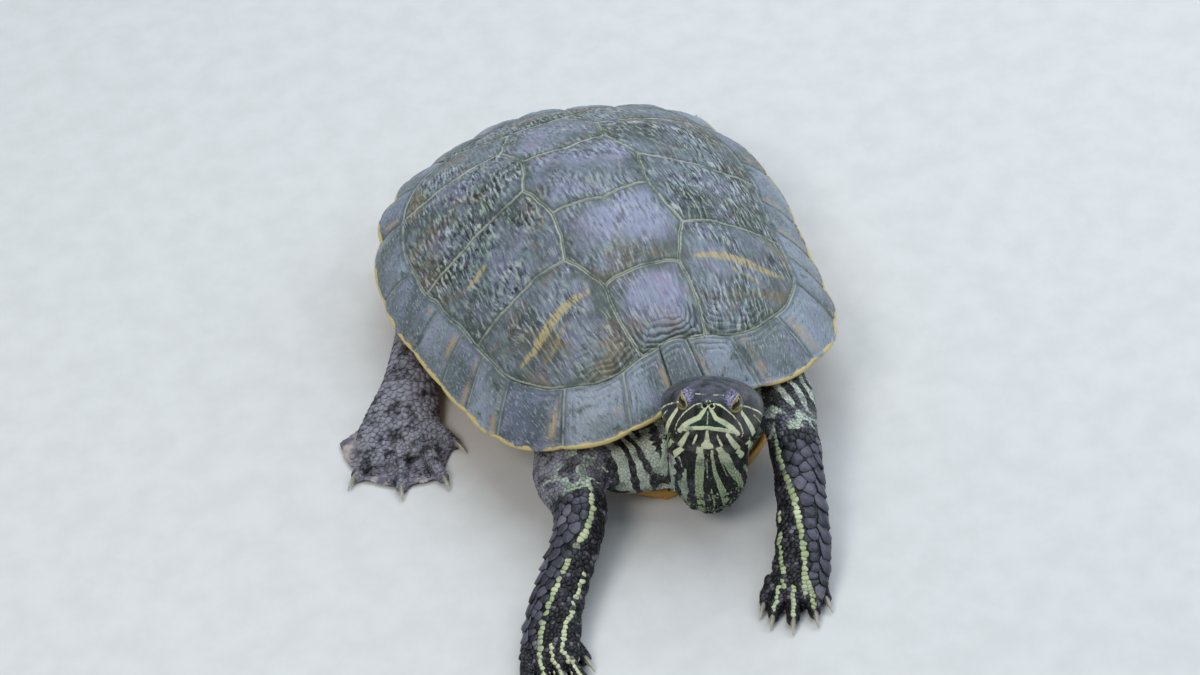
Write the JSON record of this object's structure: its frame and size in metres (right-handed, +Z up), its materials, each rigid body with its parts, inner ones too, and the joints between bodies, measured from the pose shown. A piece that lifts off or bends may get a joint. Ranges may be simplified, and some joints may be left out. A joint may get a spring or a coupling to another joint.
{
  "type": "red-eared slider turtle",
  "caption": "Life-size still model of an old dark red-eared slider turtle, lying on its plastron with forelegs stretched forward, head raised and hind feet spread.",
  "frame": {"origin": "middle of the flat underside of the plastron, on the floor", "axes": "+Z up, -Y the way the turtle faces, +X its left side"},
  "size_m": [0.252, 0.3726, 0.0975],
  "materials": {
    "carapace_horn": "horny scutes, slate to blackish green, satin, with fine pale wrinkles and worn violet-grey patches",
    "marginal_horn": "horny rim scutes, bluish dark, satin, with a cream-yellow edge",
    "plastron_horn": "horny belly scutes, worn yellow to orange with dark smudges, satin",
    "skin": "scaled skin, blackish with pale grey-green and yellow-green stripes, satin",
    "head_skin": "smooth dark olive-brown head skin and horny beak with pale green stripes, slightly moist",
    "eye": "wet eye with a golden-yellow iris, a dark bar and a black pupil",
    "claw_horn": "translucent-looking horn, grey-tan, darker at the base"
  },
  "bodies": {
    "root": {"vertebral_1": "carapace_horn", "vertebral_2": "carapace_horn", "vertebral_3": "carapace_horn", "vertebral_4": "carapace_horn", "vertebral_5": "carapace_horn", "pleural_left_1": "carapace_horn", "pleural_right_1": "carapace_horn", "pleural_left_2": "carapace_horn", "pleural_right_2": "carapace_horn", "pleural_left_3": "carapace_horn", "pleural_right_3": "carapace_horn", "pleural_left_4": "carapace_horn", "pleural_right_4": "carapace_horn", "nuchal": "marginal_horn", "marginals_left": "marginal_horn", "marginals_right": "marginal_horn", "plastron": "plastron_horn", "bridge_left": "plastron_horn", "bridge_right": "plastron_horn", "trunk": "skin", "neck": "skin", "head": "head_skin", "lower_jaw": "head_skin", "eye_left": "eye", "eye_right": "eye", "tail": "skin", "foreleg_right_upper": "skin", "foreleg_right_foot": "skin", "foreleg_right_claw_1": "claw_horn", "foreleg_right_claw_2": "claw_horn", "foreleg_right_claw_3": "claw_horn", "foreleg_right_claw_4": "claw_horn", "foreleg_right_claw_5": "claw_horn", "foreleg_left_upper": "skin", "foreleg_left_foot": "skin", "foreleg_left_claw_1": "claw_horn", "foreleg_left_claw_2": "claw_horn", "foreleg_left_claw_3": "claw_horn", "foreleg_left_claw_4": "claw_horn", "foreleg_left_claw_5": "claw_horn", "hindleg_right_upper": "skin", "hindleg_right_foot": "skin", "hindleg_right_claw_1": "claw_horn", "hindleg_right_claw_2": "claw_horn", "hindleg_right_claw_3": "claw_horn", "hindleg_right_claw_4": "claw_horn", "hindleg_left_upper": "skin", "hindleg_left_foot": "skin", "hindleg_left_claw_1": "claw_horn", "hindleg_left_claw_2": "claw_horn", "hindleg_left_claw_3": "claw_horn", "hindleg_left_claw_4": "claw_horn"}
  },
  "joints": []
}
